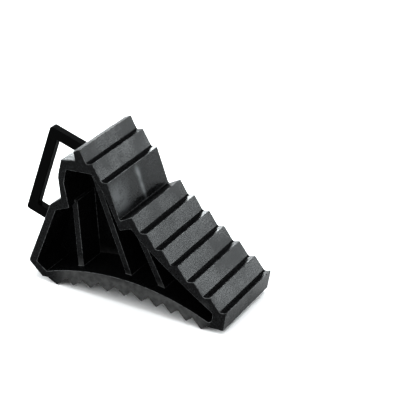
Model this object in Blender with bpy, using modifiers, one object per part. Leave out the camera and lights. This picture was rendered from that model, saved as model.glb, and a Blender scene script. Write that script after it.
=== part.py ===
"""Wheel chock with a carrying handle: a moulded rubber body and a rigid handle set into its back.

Metres, +Z up. X runs from the handle towards the toe, Y across the chock, Z up from the ground.
The origin is on the ground, under the rearmost sole tooth, half way across the chock.
"""

import math

import bmesh
import bpy
from mathutils import Vector

# Body
WIDTH = 0.100
WEB = 0.010  # wall in the middle plane that closes the hollows of the two sides off from each other
RIB_RECESS = 0.012  # how far the ribs stay behind the side faces
RIB_THICKNESS = 0.0065
RIB_START = WEB / 4  # ribs start this far from the middle plane, inside the web
CORNER_STEP = math.radians(18)  # one flat of a rounded corner turns this far
MERGE_WITHIN = 0.000001

# Wheel face. A ridge is a point (X, Z) of the side view.
HEAD_REAR = (0.0055, 0.1444)
HEAD_NOTCH = (0.0216, 0.1472)
HEAD_LIP = (0.0200, 0.1566)
UPPER_TEETH = [  # ridge, then the root under its face
    ((0.0272, 0.1604), (0.0353, 0.1464)),
    ((0.0418, 0.1488), (0.0529, 0.1313)),
    ((0.0592, 0.1321), (0.0740, 0.0945)),
]
LOWER_TEETH = 7
LOWER_FIRST = (0.0875, 0.1024)
LOWER_LAST = (0.1960, 0.0267)
LOWER_SAG = 0.0023  # how far the middle ridges dip below the line from the first to the last
FACE_LENGTH = 0.0183
FACE_TURN = math.radians(17.5)  # a tooth's face is this much steeper than the line of the ridges
TOE_FRONT = (0.1932, 0.0050)
TOE_REAR = (0.1756, 0.0050)
TOE_RADIUS = 0.0015

# Sole. Its tooth tips are small flats along one arc, which stands on the ground at both ends.
SOLE_SPAN = 0.1685
SOLE_RISE = 0.0110
SOLE_PITCHES = [0.0200] * 5 + [0.0171] * 4
SOLE_DEPTH = 0.0074
SOLE_TIP = 0.0008
SOLE_FLANK = math.tan(math.radians(42))  # slope of the side of a tooth that faces the toe
HEEL_ROOT = (-0.0123, 0.0057)
HEEL_TIP = (-0.0175, 0.0042)

# Back: corner, then the radius it is rounded to
HEEL_CORNER = ((-0.0340, 0.0190), 0.0035)
SHOULDER = ((-0.0078, 0.0908), 0.0060)
WAIST = ((0.0050, 0.1010), 0.0015)
KNEE = ((0.0016, 0.1254), 0.0120)

# Side hollows
FLOOR_CROWN = (0.0792, 0.0293)
FLOOR_RADIUS = 0.2508
FLOOR_REAR_X = -0.0125
FLOOR_STEPS = 20
LOWER_WALL = 0.0128  # from the line of the lower ridges in to the hollow
HOLLOW_TIP_RADIUS = 0.0040
HOLLOW_TIP_X = 0.1790
HOLLOW_TIP_SHARE = 0.93  # the tip's upper corner lies this far along the line of the lower ridges
HOLLOW_RADIUS = 0.0015
HOLLOW_BACK = [(-0.0245, 0.0202), (-0.0010, 0.0860), (0.0150, 0.0928), (0.0088, 0.1190)]
HOLLOW_HEAD = [(0.0114, 0.1345), (0.0407, 0.1370)]
HOLLOW_FRONT = [(0.0555, 0.1195), (0.0738, 0.0836), (0.0868, 0.0890)]

# Ribs: bottom and top end of the centre line. Their places differ a little from side to side.
RIBS = {
    "near": [
        ((0.0223, 0.0190), (0.0140, 0.0965)),
        ((0.0800, 0.0250), (0.0330, 0.1400)),
        ((0.1185, 0.0225), (0.0822, 0.0905)),
    ],
    "far": [
        ((0.0216, 0.0190), (0.0146, 0.0965)),
        ((0.0667, 0.0250), (0.0262, 0.1400)),
        ((0.1170, 0.0225), (0.0790, 0.0900)),
    ],
}
SIDES = {"near": -1, "far": 1}

# Handle, a U of rectangular bar. Its own X runs along the legs, its own Y along the grip.
HANDLE_CORNER = (-0.0665, 0.0517)
HANDLE_TILT = math.radians(16.7)
GRIP_LENGTH = 0.106
BAR_HEIGHT = 0.0112
BAR_WIDTH = 0.0090
LEG_LENGTH = 0.0466  # the last 3 to 4 mm of it sit in the body
OUTER_RADIUS = 0.0030
INNER_RADIUS = 0.0012
EDGE_ROUNDING = 0.0012
ROUNDED_ABOVE = math.radians(60)  # only edges that turn more than this are rounded
TONGUE_LENGTH = 0.0110
TONGUE_HEIGHT = 0.0070
TONGUE_WIDTH = 0.0045
TONGUE_ROOT = 0.0020  # how far the tongue runs back inside the leg
BARB_START = 0.0040
BARB_HEIGHT = 0.0090
NOSE_HEIGHT = 0.0050
CLEARANCE = 0.0003


def clear_scene():
    for obj in list(bpy.data.objects):
        bpy.data.objects.remove(obj, do_unlink=True)


def collection(name):
    made = bpy.data.collections.new(name)
    bpy.context.scene.collection.children.link(made)
    return made


def material(name, colour, roughness):
    made = bpy.data.materials.new(name)
    made.use_nodes = True
    shader = made.node_tree.nodes["Principled BSDF"]
    shader.inputs["Base Color"].default_value = (*colour, 1)
    shader.inputs["Roughness"].default_value = roughness
    shader.inputs["Metallic"].default_value = 0
    made.diffuse_color = (*colour, 1)
    return made


def rounded(corners):
    """The outline through the corners (point, radius), with an arc at each that has a radius."""
    points = []
    for index, (corner, radius) in enumerate(corners):
        here = Vector(corner)
        if not radius:
            points.append(here)
            continue
        back = (Vector(corners[index - 1][0]) - here).normalized()
        ahead = (Vector(corners[(index + 1) % len(corners)][0]) - here).normalized()
        half = back.angle(ahead) / 2
        centre = here + (back + ahead).normalized() * radius / math.sin(half)
        start = here + back * radius / math.tan(half) - centre
        turn = start.angle_signed(here + ahead * radius / math.tan(half) - centre)
        flats = max(1, round(abs(turn) / CORNER_STEP))
        for step in range(flats + 1):
            angle = -turn * step / flats
            points.append(centre + Vector((
                start.x * math.cos(angle) - start.y * math.sin(angle),
                start.x * math.sin(angle) + start.y * math.cos(angle),
            )))
    return points


def sharp(points):
    return [(point, 0) for point in points]


def lower_line(share, inset=0):
    """(point, slope angle) of the sagging line of the lower ridges, or that far inside it."""
    first, last = Vector(LOWER_FIRST), Vector(LOWER_LAST)
    chord = last - first
    inward = Vector((chord.y, -chord.x)).normalized()
    point = first + chord * share + inward * (LOWER_SAG * 4 * share * (1 - share) + inset)
    slope = math.atan2(chord.y, chord.x) - math.atan(LOWER_SAG * 4 * (1 - 2 * share) / chord.length)
    return point, slope


def wheel_face():
    """From the rear of the head over the ridges down to the toe."""
    points = [HEAD_REAR, HEAD_NOTCH, HEAD_LIP]
    for ridge, root in UPPER_TEETH:
        points += [ridge, root]
    for tooth in range(LOWER_TEETH):
        ridge, slope = lower_line(tooth / (LOWER_TEETH - 1))
        points.append(ridge)
        if tooth < LOWER_TEETH - 1:
            face = slope - FACE_TURN
            points.append(ridge + Vector((math.cos(face), math.sin(face))) * FACE_LENGTH)
    return points


def sole():
    """The sole teeth, from the toe back to the heel."""
    radius = SOLE_SPAN**2 / (8 * SOLE_RISE) + SOLE_RISE / 2
    middle = SOLE_SPAN / 2
    tip_xs = [sum(SOLE_PITCHES[:count]) for count in range(len(SOLE_PITCHES) + 1)]
    points = []
    for x in tip_xs:
        height = math.sqrt(radius**2 - (x - middle) ** 2) - radius + SOLE_RISE
        points += [(x - SOLE_TIP / 2, height), (x + SOLE_TIP / 2, height)]
        slope = (middle - x) / radius
        run = SOLE_DEPTH / (SOLE_FLANK - slope)
        if x < tip_xs[-1]:
            points.append((x + SOLE_TIP / 2 + run, height + run * SOLE_FLANK))
    return points[::-1]


def body_outline():
    corners = sharp(wheel_face()) + [(TOE_FRONT, TOE_RADIUS)] + sharp([TOE_REAR] + sole())
    corners += sharp([HEEL_ROOT, HEEL_TIP]) + [HEEL_CORNER, SHOULDER, WAIST, KNEE]
    return rounded(corners)


def hollow_outline():
    """The rim's inner edge: the floor arc, the back wall, the head and behind the wheel face."""
    crown_x, crown_z = FLOOR_CROWN
    floor = []
    for step in range(FLOOR_STEPS + 1):
        x = HOLLOW_TIP_X + (FLOOR_REAR_X - HOLLOW_TIP_X) * step / FLOOR_STEPS
        drop = FLOOR_RADIUS - math.sqrt(FLOOR_RADIUS**2 - (x - crown_x) ** 2)
        floor.append((x, crown_z - drop))
    wall = []
    for tooth in range(1, LOWER_TEETH - 1):
        point, _ = lower_line(tooth / (LOWER_TEETH - 1), inset=LOWER_WALL)
        wall.append(point)
    tip, _ = lower_line(HOLLOW_TIP_SHARE, inset=LOWER_WALL)
    corners = [(floor[0], HOLLOW_TIP_RADIUS)] + sharp(floor[1:])
    corners += [(point, HOLLOW_RADIUS) for point in HOLLOW_BACK + HOLLOW_HEAD + HOLLOW_FRONT]
    return rounded(corners + sharp(wall) + [(tip, HOLLOW_TIP_RADIUS)])


def plate(name, outline, near, far, owner):
    """A solid with that outline in its own XY, from near to far, stood up so that its Y is up."""
    curve = bpy.data.curves.new(name, "CURVE")
    curve.dimensions = "2D"
    curve.fill_mode = "BOTH"
    curve.extrude = (far - near) / 2
    spline = curve.splines.new("POLY")
    spline.points.add(len(outline) - 1)
    for point, (x, y) in zip(spline.points, outline):
        point.co = (x, y, 0, 1)
    spline.use_cyclic_u = True
    flat = bpy.data.objects.new(name, curve)
    owner.objects.link(flat)
    bpy.context.view_layer.update()
    graph = bpy.context.evaluated_depsgraph_get()
    mesh = bpy.data.meshes.new_from_object(flat.evaluated_get(graph))
    bpy.data.objects.remove(flat)
    made = bmesh.new()
    made.from_mesh(mesh)
    bmesh.ops.remove_doubles(made, verts=made.verts, dist=MERGE_WITHIN)
    bmesh.ops.translate(made, verts=made.verts, vec=(0, 0, (near + far) / 2))
    bmesh.ops.recalc_face_normals(made, faces=made.faces)
    made.to_mesh(mesh)
    made.free()
    solid = bpy.data.objects.new(name, mesh)
    solid.rotation_euler.x = math.radians(90)
    owner.objects.link(solid)
    return solid


def side_plate(name, outline, inner, outer, side, owner):
    """A plate on one side of the middle plane, from that distance out to the other."""
    ends = sorted((-side * inner, -side * outer))
    return plate(name, outline, ends[0], ends[1], owner)


def as_cutter(solid):
    solid.hide_render = True
    solid.display_type = "WIRE"
    return solid


def combine(target, operation, other):
    step = target.modifiers.new(other.name, "BOOLEAN")
    step.operation = operation
    step.solver = "EXACT"
    step.object = as_cutter(other)


def rib_outline(bottom, top):
    bottom, top = Vector(bottom), Vector(top)
    along = (top - bottom).normalized()
    across = Vector((along.y, -along.x)) * RIB_THICKNESS / 2
    return [bottom - across, bottom + across, top + across, top - across]


def leg_outline(grow=0):
    """The U of the handle in its own plane; grow widens it all round for the seats of its legs."""
    inner = BAR_HEIGHT + grow
    end = LEG_LENGTH + grow
    corners = [
        ((-grow, -grow), OUTER_RADIUS),
        ((end, -grow), 0),
        ((end, inner), 0),
        ((inner, inner), INNER_RADIUS),
        ((inner, GRIP_LENGTH - inner), INNER_RADIUS),
        ((end, GRIP_LENGTH - inner), 0),
        ((end, GRIP_LENGTH + grow), 0),
        ((-grow, GRIP_LENGTH + grow), OUTER_RADIUS),
    ]
    return rounded(corners)


def tongue_outline(centre, grow=0):
    """The barbed tongue on the end of a leg, whose middle is at that height along the grip."""
    neck = TONGUE_HEIGHT / 2 + grow
    barb = BARB_HEIGHT / 2 + grow
    nose = NOSE_HEIGHT / 2 + grow
    root = LEG_LENGTH - TONGUE_ROOT
    shoulder = LEG_LENGTH + BARB_START - grow
    end = LEG_LENGTH + TONGUE_LENGTH + grow
    half = [(root, neck), (shoulder, neck), (shoulder, barb), (end, nose)]
    return [(x, centre - y) for x, y in half] + [(x, centre + y) for x, y in reversed(half)]


def in_handle_frame(solid):
    solid.location = (HANDLE_CORNER[0], 0, HANDLE_CORNER[1])
    solid.rotation_euler.y = HANDLE_TILT


def build_body(parts, cutters):
    body = plate("chock_body", body_outline(), -WIDTH / 2, WIDTH / 2, parts)
    hollow = hollow_outline()
    for name, side in SIDES.items():
        past_side = WIDTH
        cutter = side_plate(f"hollow_{name}", hollow, WEB / 2, past_side, side, cutters)
        combine(body, "DIFFERENCE", cutter)
        for number, (bottom, top) in enumerate(RIBS[name], 1):
            rib_end = WIDTH / 2 - RIB_RECESS
            outline = rib_outline(bottom, top)
            rib = side_plate(f"rib_{name}_{number}", outline, RIB_START, rib_end, side, cutters)
            combine(body, "UNION", rib)
    half = BAR_WIDTH / 2 + CLEARANCE
    seats = plate("leg_seats", leg_outline(CLEARANCE), -half, half, cutters)
    in_handle_frame(seats)
    combine(body, "DIFFERENCE", seats)
    half = TONGUE_WIDTH / 2 + CLEARANCE
    for name, centre in leg_centres().items():
        pit = plate(f"{name}_tongue_pit", tongue_outline(centre, CLEARANCE), -half, half, cutters)
        in_handle_frame(pit)
        combine(body, "DIFFERENCE", pit)
    body.data.materials.append(material("black rubber", (0.018, 0.018, 0.019), 0.5))


def build_handle(parts, cutters):
    handle = plate("handle", leg_outline(), -BAR_WIDTH / 2, BAR_WIDTH / 2, parts)
    in_handle_frame(handle)
    rounding = handle.modifiers.new("rounded edges", "BEVEL")
    rounding.width = EDGE_ROUNDING
    rounding.segments = 3
    rounding.limit_method = "ANGLE"
    rounding.angle_limit = ROUNDED_ABOVE
    half = TONGUE_WIDTH / 2
    for name, centre in leg_centres().items():
        tongue = plate(f"{name}_tongue", tongue_outline(centre), -half, half, cutters)
        in_handle_frame(tongue)
        combine(handle, "UNION", tongue)
    handle.data.materials.append(material("black handle plastic", (0.012, 0.012, 0.013), 0.4))


def leg_centres():
    return {"lower": BAR_HEIGHT / 2, "upper": GRIP_LENGTH - BAR_HEIGHT / 2}


def main():
    clear_scene()
    parts = collection("wheel_chock")
    cutters = collection("cutters")
    build_body(parts, cutters)
    build_handle(parts, cutters)


main()
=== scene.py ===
"""Looks of the wheel chock: a moulded rubber body with softened edges, and its dull black handle."""

import functools
import math

import bmesh
import bpy
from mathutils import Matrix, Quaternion, Vector


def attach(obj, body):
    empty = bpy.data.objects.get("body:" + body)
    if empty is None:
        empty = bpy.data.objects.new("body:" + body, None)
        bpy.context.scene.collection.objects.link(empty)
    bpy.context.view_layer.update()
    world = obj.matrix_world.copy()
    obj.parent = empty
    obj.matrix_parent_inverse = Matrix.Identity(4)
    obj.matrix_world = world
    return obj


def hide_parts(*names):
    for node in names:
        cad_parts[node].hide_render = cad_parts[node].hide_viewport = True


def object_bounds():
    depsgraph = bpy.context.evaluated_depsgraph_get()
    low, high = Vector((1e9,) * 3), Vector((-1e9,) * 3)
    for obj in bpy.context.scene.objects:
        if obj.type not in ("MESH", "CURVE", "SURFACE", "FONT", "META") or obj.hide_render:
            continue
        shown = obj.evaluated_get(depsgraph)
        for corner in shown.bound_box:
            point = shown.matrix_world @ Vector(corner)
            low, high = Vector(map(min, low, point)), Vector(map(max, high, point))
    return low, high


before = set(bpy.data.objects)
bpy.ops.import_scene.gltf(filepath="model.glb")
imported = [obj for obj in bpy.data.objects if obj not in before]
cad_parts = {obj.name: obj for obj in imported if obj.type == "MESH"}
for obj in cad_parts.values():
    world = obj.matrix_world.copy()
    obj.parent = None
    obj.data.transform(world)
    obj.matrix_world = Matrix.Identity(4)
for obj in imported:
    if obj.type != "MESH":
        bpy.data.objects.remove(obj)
cad_low, cad_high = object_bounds()
CENTRE = (cad_low + cad_high) / 2

# Camera
AZIMUTH = math.radians(26.93)
ELEVATION = math.radians(27.08)
ROLL = math.radians(2.28)
DISTANCE = 1.588
AIM_RIGHT = 0.0641  # the camera looks this far past the chock's middle
AIM_UP = 0.0121
LENS = 140.3
SENSOR = 36

# Studio
FRONT_LEVEL = 1.0  # brightness of the surround on the camera's side
REAR_LEVEL = 0.2
FRONT_TO_REAR = (-0.6, 0.8)  # Y of the directions between which one level turns into the other
LIGHT_COLOUR = (0.94, 0.985, 1)
# Name, azimuth in degrees from +X, distance, height above the middle, (width, height), watts
SOFTBOXES = (
    ("wall", 45, 1.8, 0.54, (1.4, 0.26), 17),
    ("low_wall", 45, 1.8, 0.1, (1.4, 0.2), 5),
    ("rear_left", 124, 1.8, 0.62, (0.5, 0.4), 12),
    ("back", 216, 1.6, 0.42, (1.5, 0.6), 14),
    ("top", 90, 0.3, 1.6, (1.5, 1.5), 22),
)
FLOOR_TONE = 0.9
FLOOR_SIZE = 8
FLOOR_SPECULAR = 0.1
FLOOR_ROUGHNESS = 0.9

# Colour sockets of a mix node
MIX_FIRST = 6
MIX_SECOND = 7
MIX_RESULT = 2

# Noise: (waves per metre, detail)
PATCHES = (22, 2)
CLOUDS = (90, 4)
MOTTLE = (160, 4)
CHIPS = (260, 3)
GRAIN = (750, 3)
PLASTIC_MOTTLE = (200, 3)
PLASTIC_GRAIN = (1800, 2)

# Parts of the range of a noise, and strengths that they are turned into
WHOLE_SPAN = (0.3, 0.7)  # nearly all of a noise lies in this range
INNER_SPAN = (0.35, 0.6)
UPPER_SPAN = (0.45, 0.7)
CHIP_STRENGTH = (0.25, 1)
CLOUD_STRENGTH = (0.5, 1)
SPECK_STRENGTH = (0.6, 1)
# strength of the painted floor light on the sole's sides
FLOOR_LIGHT_STRENGTH = (0.45, 0.8)

# Rubber
RUBBER_SPECULAR = 0.1
RUBBER_DEEP = (0.002, 0.002, 0.0021)
RUBBER_PALE = (0.005, 0.005, 0.0053)
RUBBER_SPECK = (0.016, 0.017, 0.018)
# painted highlight: a pale streak and a lighter -Y half on the long tooth's face, in the base colour
RUBBER_PAINTED_HIGHLIGHT = (0.12, 0.125, 0.128)
# painted light: the sole's upright sides paler near the floor, as if lit from below by it
RUBBER_FLOOR_LIGHT = (0.075, 0.075, 0.074)
# wear on the edges that stand out, and a painted highlight along them
RUBBER_WEAR_AND_HIGHLIGHT = (0.085, 0.087, 0.088)
RUBBER_ROUGHNESS = (0.19, 0.31)
MOTTLE_ROUGHNESS = (-0.01, 0.02)
GRAIN_ROUGHNESS = (-0.03, 0.06)
# roughness added where the floor light is painted
FLOOR_LIGHT_ROUGHNESS = 0.3
# roughness added where the highlight is painted
PAINTED_HIGHLIGHT_ROUGHNESS = 0.2
MOTTLE_DEPTH = 0.00004
GRAIN_DEPTH = 0.0001
SIDEWAYS = (0.8, 0.95)  # how much of a normal points across the chock on the sides of the sole
SOLE_TOP = (0.022, 0.036)  # the painted floor light on the sole's sides fades out between these heights
SOLE_HEEL = (-0.012, 0.02)  # and it comes in and goes out again between these places along X
SOLE_TOE = (0.165, 0.182)

# Plastic
PLASTIC_SPECULAR = 0.04
PLASTIC_DEEP = (0.001, 0.001, 0.0011)
PLASTIC_PALE = (0.003, 0.003, 0.0031)
PLASTIC_WORN = (0.012, 0.012, 0.0122)
PLASTIC_ROUGHNESS = (0.42, 0.56)
PLASTIC_MOTTLE_DEPTH = 0.0001
PLASTIC_GRAIN_DEPTH = 0.00002
EDGE_POINTINESS = (0.53, 0.65)

# Edges
WELD = 0.00002  # points closer than this become one
FLAT = math.radians(0.5)  # faces that turn by less than this become one
SHARP = math.radians(25)  # edges that turn by more than this are rounded
ROUNDED = math.radians(8)  # the strips of a rounded edge turn by more than this
EDGE_RADIUS = 0.0006
FINE_EDGE_RADIUS = 0.0003
EDGE_STEPS = 3
ROUND_PROFILE = 0.5
NARROW = 0.0015  # a flat narrower than this gets finer edges
WHEELWARD = 0.7  # faces whose normal has more than this much of +X look at the wheel
ROOT_REACH = 0.002  # the fillet at the root of a wheel-face tooth starts this far from the corner
ROOT_STEPS = 6
MOST_OF_WIDTH = 0.9
HANDLE_VOXEL = 0.0004
SMOOTHING = 4  # passes
SMOOTHING_FACTOR = 0.5
LARGE_FACES = 100  # the large faces decide the normals beside them; 50 would be neutral

# Relief of the wheel face
SLICE = 0.0015  # spacing of the cuts that let the faces take the relief
SAME_WAY = 0.999  # the parts of the long tooth's face agree this well in direction
SAME_PLANE = 0.0002  # and lie this close to one plane
SINK = 0.00012  # how far a tooth's face has sunk over the web behind it
DEEPER_SINK = 3  # how many times more the long tooth's face has sunk half way up
SINK_HALF_WIDTH = 0.007
SINK_OFFSET = -0.001
# The painted highlight on the long tooth's face: a streak, and painted light on the -Y half
STREAK_OFFSET = 0.0045
STREAK_TOP_WIDTH = 0.0045
STREAK_FOOT_WIDTH = 0.0015
STREAK_RISE = 1.6  # how fast the painted highlight streak comes in from its two ends
SIDE_SHEEN = 0.55  # strength of the painted light on the -Y half, where the painted highlight streak's is 1
SIDE_SHEEN_OFFSET = -0.042
SIDE_SHEEN_HALF_WIDTH = 0.02


def camera():
    data = bpy.data.cameras.new("camera")
    data.lens = LENS
    data.sensor_width = SENSOR
    made = bpy.data.objects.new("camera", data)
    bpy.context.scene.collection.objects.link(made)
    back = Vector((
        math.sin(AZIMUTH) * math.cos(ELEVATION),
        -math.cos(AZIMUTH) * math.cos(ELEVATION),
        math.sin(ELEVATION),
    ))
    turn = back.to_track_quat("Z", "Y") @ Quaternion((0, 0, 1), ROLL)
    made.rotation_mode = "QUATERNION"
    made.rotation_quaternion = turn
    made.location = CENTRE + back * DISTANCE + turn @ Vector((AIM_RIGHT, AIM_UP, 0))
    bpy.context.scene.camera = made


def softbox(name, azimuth, distance, height, size, power):
    """A rectangular light round the chock, aimed at its middle."""
    data = bpy.data.lights.new(name, "AREA")
    data.shape = "RECTANGLE"
    data.size, data.size_y = size
    data.energy = power
    data.color = LIGHT_COLOUR
    made = bpy.data.objects.new(name, data)
    bpy.context.scene.collection.objects.link(made)
    turn = math.radians(azimuth)
    offset = Vector((math.cos(turn) * distance, math.sin(turn) * distance, height))
    made.location = CENTRE + offset
    made.rotation_mode = "QUATERNION"
    made.rotation_quaternion = offset.to_track_quat("Z", "Y")


def surround():
    """A soft world that is dim behind the chock, towards +Y."""
    made = bpy.data.worlds.new("studio")
    made.use_nodes = True
    tree = made.node_tree
    direction = tree.nodes.new("ShaderNodeTexCoord").outputs["Generated"]
    level = remap(tree, component(tree, direction, "Y"), FRONT_TO_REAR, (FRONT_LEVEL, REAR_LEVEL))
    tree.links.new(level, tree.nodes["Background"].inputs["Strength"])
    tree.nodes["Background"].inputs["Color"].default_value = (1, 1, 1, 1)
    bpy.context.scene.world = made


def component(tree, vector, axis):
    node = tree.nodes.new("ShaderNodeSeparateXYZ")
    tree.links.new(vector, node.inputs[0])
    return node.outputs[axis]


def remap(tree, value, old, new):
    """The value's old range carried smoothly to the new one, and held at its ends."""
    node = tree.nodes.new("ShaderNodeMapRange")
    node.interpolation_type = "SMOOTHSTEP"
    tree.links.new(value, node.inputs["Value"])
    node.inputs["From Min"].default_value, node.inputs["From Max"].default_value = old
    node.inputs["To Min"].default_value, node.inputs["To Max"].default_value = new
    return node.outputs["Result"]


def noise(tree, size):
    """Noise over the object."""
    place = tree.nodes.new("ShaderNodeTexCoord")
    node = tree.nodes.new("ShaderNodeTexNoise")
    node.inputs["Scale"].default_value, node.inputs["Detail"].default_value = size
    tree.links.new(place.outputs["Object"], node.inputs["Vector"])
    return node.outputs["Fac"]


def attribute(tree, name):
    node = tree.nodes.new("ShaderNodeAttribute")
    node.attribute_name = name
    return node.outputs["Fac"]


def calculate(tree, operation, first, second=0):
    """The operation on a value and, where it takes two, on a second value or number."""
    node = tree.nodes.new("ShaderNodeMath")
    node.operation = operation
    tree.links.new(first, node.inputs[0])
    if isinstance(second, (int, float)):
        node.inputs[1].default_value = second
    else:
        tree.links.new(second, node.inputs[1])
    return node.outputs["Value"]


def product(tree, values):
    return functools.reduce(functools.partial(calculate, tree, "MULTIPLY"), values)


def total(tree, values):
    return functools.reduce(functools.partial(calculate, tree, "ADD"), values)


def blend(tree, factor, first, second):
    """Two colours mixed; each is a colour or another mix."""
    node = tree.nodes.new("ShaderNodeMix")
    node.data_type = "RGBA"
    tree.links.new(factor, node.inputs["Factor"])
    for socket, colour in ((node.inputs[MIX_FIRST], first), (node.inputs[MIX_SECOND], second)):
        if isinstance(colour, tuple):
            socket.default_value = (*colour, 1)
        else:
            tree.links.new(colour, socket)
    return node.outputs[MIX_RESULT]


def bumps(tree, bsdf, layers):
    """Layers of (height, depth in metres) stacked as the surface's fine relief."""
    normal = None
    for height, depth in layers:
        node = tree.nodes.new("ShaderNodeBump")
        node.inputs["Strength"].default_value = 1
        node.inputs["Distance"].default_value = depth
        tree.links.new(height, node.inputs["Height"])
        if normal:
            tree.links.new(normal, node.inputs["Normal"])
        normal = node.outputs["Normal"]
    tree.links.new(normal, bsdf.inputs["Normal"])


def shader(name, specular):
    made = bpy.data.materials.new(name)
    made.use_nodes = True
    bsdf = made.node_tree.nodes["Principled BSDF"]
    bsdf.inputs["Specular IOR Level"].default_value = specular
    return made, made.node_tree, bsdf


def chipped(tree, value):
    """The value broken up along its length."""
    return product(tree, (value, remap(tree, noise(tree, CHIPS), INNER_SPAN, CHIP_STRENGTH)))


# mask of the painted floor light
def sole_band(tree):
    """1 on the upright sides of the sole, and 0 above it and towards the heel and the toe."""
    place = tree.nodes.new("ShaderNodeTexCoord").outputs["Object"]
    facing = tree.nodes.new("ShaderNodeNewGeometry").outputs["True Normal"]
    across = calculate(tree, "ABSOLUTE", component(tree, facing, "Y"))
    along, height = component(tree, place, "X"), component(tree, place, "Z")
    return product(tree, (
        remap(tree, across, SIDEWAYS, (0, 1)),
        remap(tree, height, SOLE_TOP, (1, 0)),
        remap(tree, along, SOLE_HEEL, (0, 1)),
        remap(tree, along, SOLE_TOE, (1, 0)),
    ))


def rubber():
    made, tree, bsdf = shader("rubber", RUBBER_SPECULAR)
    patches, mottle, grain = (noise(tree, size) for size in (PATCHES, MOTTLE, GRAIN))
    # pale edges of the rubber: wear and a painted highlight
    pale_edges = chipped(tree, attribute(tree, "worn_and_highlight"))
    clouds = remap(tree, noise(tree, CLOUDS), INNER_SPAN, CLOUD_STRENGTH)
    # painted highlight on the long tooth's face, broken up by clouds
    painted_highlight = product(tree, (attribute(tree, "painted_highlight"), clouds))
    flecks = remap(tree, grain, UPPER_SPAN, (0, 1))
    specks = product(tree, (flecks, remap(tree, mottle, WHOLE_SPAN, SPECK_STRENGTH)))
    # painted light bounced up from the floor onto the sole's sides
    painted_floor_light = product(tree, (sole_band(tree), remap(tree, mottle, WHOLE_SPAN, FLOOR_LIGHT_STRENGTH)))
    colour = blend(tree, mottle, RUBBER_DEEP, RUBBER_PALE)
    # layers over the mottle: specks, painted highlight, painted floor light, and worn edges with a
    # painted highlight
    for factor, paler in (
        (specks, RUBBER_SPECK), (painted_highlight, RUBBER_PAINTED_HIGHLIGHT), (painted_floor_light, RUBBER_FLOOR_LIGHT), (pale_edges, RUBBER_WEAR_AND_HIGHLIGHT),
    ):
        colour = blend(tree, factor, colour, paler)
    tree.links.new(colour, bsdf.inputs["Base Color"])
    rough = total(tree, (
        remap(tree, patches, WHOLE_SPAN, RUBBER_ROUGHNESS),
        remap(tree, mottle, WHOLE_SPAN, MOTTLE_ROUGHNESS),
        remap(tree, grain, WHOLE_SPAN, GRAIN_ROUGHNESS),
        product(tree, (painted_floor_light, FLOOR_LIGHT_ROUGHNESS)),
        product(tree, (painted_highlight, PAINTED_HIGHLIGHT_ROUGHNESS)),
    ))
    tree.links.new(rough, bsdf.inputs["Roughness"])
    bumps(tree, bsdf, ((mottle, MOTTLE_DEPTH), (grain, GRAIN_DEPTH)))
    return made


def plastic():
    made, tree, bsdf = shader("black_plastic", PLASTIC_SPECULAR)
    mottle = noise(tree, PLASTIC_MOTTLE)
    grain = noise(tree, PLASTIC_GRAIN)
    pointiness = tree.nodes.new("ShaderNodeNewGeometry").outputs["Pointiness"]
    pale_edges = chipped(tree, remap(tree, pointiness, EDGE_POINTINESS, (0, 1)))
    colour = blend(tree, mottle, PLASTIC_DEEP, PLASTIC_PALE)
    colour = blend(tree, pale_edges, colour, PLASTIC_WORN)
    tree.links.new(colour, bsdf.inputs["Base Color"])
    tree.links.new(remap(tree, mottle, WHOLE_SPAN, PLASTIC_ROUGHNESS), bsdf.inputs["Roughness"])
    bumps(tree, bsdf, ((mottle, PLASTIC_MOTTLE_DEPTH), (grain, PLASTIC_GRAIN_DEPTH)))
    return made


def looks_at_wheel(part):
    """Whether a face, or the surface at a point, looks at the wheel that the chock holds."""
    return part.normal.x > WHEELWARD


def slice_up(bm, faces, start, end):
    """Cuts the faces across at even steps from start to end, so that they can take a gentle relief."""
    way = (end - start).normalized()
    for number in range(1, int((end - start).length / SLICE)):
        parts = dict.fromkeys(part for face in faces for part in (face, *face.edges, *face.verts))
        cut = bmesh.ops.bisect_plane(
            bm, geom=list(parts), plane_co=start + way * number * SLICE, plane_no=way,
        )
        faces = [g for g in cut["geom"] if isinstance(g, bmesh.types.BMFace)]
    return faces


def bevel(bm, edges, reach, steps):
    """Rounds the edges from that reach on both sides of them, and gives back the strips that it makes."""
    made = bmesh.ops.bevel(
        bm, geom=edges, affect="EDGES", offset=reach, segments=steps,
        profile=ROUND_PROFILE, clamp_overlap=False,
    )
    return made["faces"]


def fill_roots(bm):
    """Fills the corners under the teeth of the wheel face, which run right across, with a fillet."""
    least = MOST_OF_WIDTH * (cad_high.y - cad_low.y)
    roots = [
        e for e in bm.edges
        if e.calc_face_angle(0) > SHARP and not e.is_convex
        and abs(e.verts[0].co.y - e.verts[1].co.y) > least
        and any(looks_at_wheel(f) for f in e.link_faces)
    ]
    bevel(bm, roots, ROOT_REACH, ROOT_STEPS)


def narrow(face):
    """Whether a face is a thin flat between two sharp edges, as on the tips of the sole's teeth."""
    length = max(e.calc_length() for e in face.edges)
    long_edges = [e for e in face.edges if e.calc_length() > length / 2]
    return face.calc_area() < NARROW * length and all(e.calc_face_angle(0) > SHARP for e in long_edges)


def round_edges(bm, worn_and_highlight):
    """Rounds the sharp edges, those at a thin flat less, and marks the ones that stand out as worn and
    for a painted highlight.
    """
    flat_points = {v for f in bm.faces if narrow(f) for v in f.verts}
    sharp = [e for e in bm.edges if e.calc_face_angle(0) > SHARP]
    fine = [e for e in sharp if flat_points.intersection(e.verts)]
    coarse = [e for e in sharp if not flat_points.intersection(e.verts)]
    for edges, radius in ((coarse, EDGE_RADIUS), (fine, FINE_EDGE_RADIUS)):
        for face in bevel(bm, [e for e in edges if e.is_valid], radius, EDGE_STEPS):
            if any(e.is_convex and e.calc_face_angle(0) > ROUNDED for e in face.edges):
                face[worn_and_highlight] = 1


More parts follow.
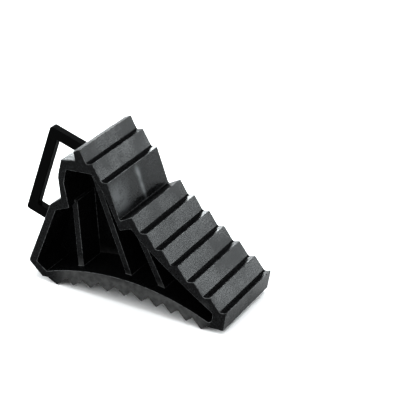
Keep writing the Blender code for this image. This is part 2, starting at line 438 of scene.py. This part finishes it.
def hump(value, middle, half_width):
    """1 at the middle, falling smoothly to 0 on both sides."""
    return math.exp(-((value - middle) / half_width) ** 2)


def sink_faces(bm, long_faces, bottom, top, painted_highlight):
    """Sinks the teeth's faces over the web behind them, as thick rubber does when it cools.

    The long tooth has sunk most, and its face carries a painted highlight: a pale streak beside the sink,
    wide at the top, and painted light on its -Y half.
    """
    long_points = {v for face in long_faces for v in face.verts}
    moves = []
    for point in filter(looks_at_wheel, bm.verts):
        depth = SINK * hump(point.co.y, SINK_OFFSET, SINK_HALF_WIDTH)
        if point in long_points:
            share = min(max((point.co.z - bottom) / (top - bottom), 0), 1)
            bulge = math.sin(math.pi * share)
            depth *= 1 + DEEPER_SINK * bulge
            width = STREAK_FOOT_WIDTH + (STREAK_TOP_WIDTH - STREAK_FOOT_WIDTH) * share
            streak = hump(point.co.y, STREAK_OFFSET, width) * min(1, STREAK_RISE * bulge)
            # the painted highlight streak plus painted light on the -Y half
            point[painted_highlight] = streak + SIDE_SHEEN * hump(point.co.y, SIDE_SHEEN_OFFSET, SIDE_SHEEN_HALF_WIDTH) * bulge
        moves.append((point, point.normal * depth))
    for point, move in moves:
        point.co -= move


def moulded_body():
    """The body's surface with the filled roots, round edges and sunken faces of a moulding."""
    bm = bmesh.new()
    bm.from_mesh(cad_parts["chock_body"].data)
    bmesh.ops.remove_doubles(bm, verts=bm.verts, dist=WELD)
    bmesh.ops.dissolve_limit(bm, angle_limit=FLAT, verts=bm.verts, edges=bm.edges)
    # edges that get wear and a painted highlight
    worn_and_highlight = bm.faces.layers.float.new("worn_and_highlight")
    # where the highlight on the long tooth's face is painted
    painted_highlight = bm.verts.layers.float.new("painted_highlight")
    long_face = max(filter(looks_at_wheel, bm.faces), key=lambda f: f.calc_area())
    heights = [v.co.z for v in long_face.verts]
    middle, normal = long_face.calc_center_median(), long_face.normal.copy()
    fill_roots(bm)
    round_edges(bm, worn_and_highlight)
    across = Vector((0, 1, 0))
    slice_up(bm, list(bm.faces), across * cad_low.y, across * cad_high.y)
    bm.normal_update()
    long_faces = [
        f for f in bm.faces
        if f.normal.dot(normal) > SAME_WAY
        and abs((f.calc_center_median() - middle).dot(normal)) < SAME_PLANE
    ]
    slope = normal.cross(across)
    reaches = [v.co.dot(slope) for f in long_faces for v in f.verts]
    long_faces = slice_up(bm, long_faces, slope * min(reaches), slope * max(reaches))
    bm.normal_update()
    sink_faces(bm, long_faces, min(heights), max(heights), painted_highlight)
    mesh = bpy.data.meshes.new("rubber_body")
    bm.to_mesh(mesh)
    bm.free()
    mesh.polygons.foreach_set("use_smooth", [True] * len(mesh.polygons))
    piece = bpy.data.objects.new("rubber_body", mesh)
    bpy.context.scene.collection.objects.link(piece)
    even = piece.modifiers.new("even", "WEIGHTED_NORMAL")
    even.weight = LARGE_FACES
    return piece


def moulded_handle():
    """The handle's surface with its edges and inner corners rounded as moulded ones are."""
    piece = bpy.data.objects.new("carry_handle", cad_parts["handle"].data.copy())
    bpy.context.scene.collection.objects.link(piece)
    weld = piece.modifiers.new("weld", "WELD")
    weld.merge_threshold = WELD
    remesh = piece.modifiers.new("remesh", "REMESH")
    remesh.mode = "VOXEL"
    remesh.voxel_size = HANDLE_VOXEL
    remesh.use_smooth_shade = True
    smooth = piece.modifiers.new("smooth", "SMOOTH")
    smooth.factor = SMOOTHING_FACTOR
    smooth.iterations = SMOOTHING
    bpy.context.view_layer.update()
    mesh = bpy.data.meshes.new_from_object(piece.evaluated_get(bpy.context.evaluated_depsgraph_get()))
    piece.modifiers.clear()
    piece.data = mesh
    mesh.name = "carry_handle"
    return piece


def floor():
    bpy.ops.mesh.primitive_plane_add(size=FLOOR_SIZE, location=(0, 0, 0))
    made = bpy.context.object
    made.name = "floor"
    paint, _, bsdf = shader("floor", FLOOR_SPECULAR)
    bsdf.inputs["Base Color"].default_value = (FLOOR_TONE, FLOOR_TONE, FLOOR_TONE, 1)
    bsdf.inputs["Roughness"].default_value = FLOOR_ROUGHNESS
    made.data.materials.append(paint)


def finish(piece, node, material):
    """Gives the piece its material and puts it in the place of the CAD node."""
    piece.data.materials.clear()
    piece.data.materials.append(material)
    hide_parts(node)
    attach(piece, "root")


camera()
surround()
for box in SOFTBOXES:
    softbox(*box)
floor()
finish(moulded_body(), "chock_body", rubber())
finish(moulded_handle(), "handle", plastic())
bpy.context.scene.view_settings.view_transform = "Standard"
bpy.context.scene.view_settings.look = "High Contrast"
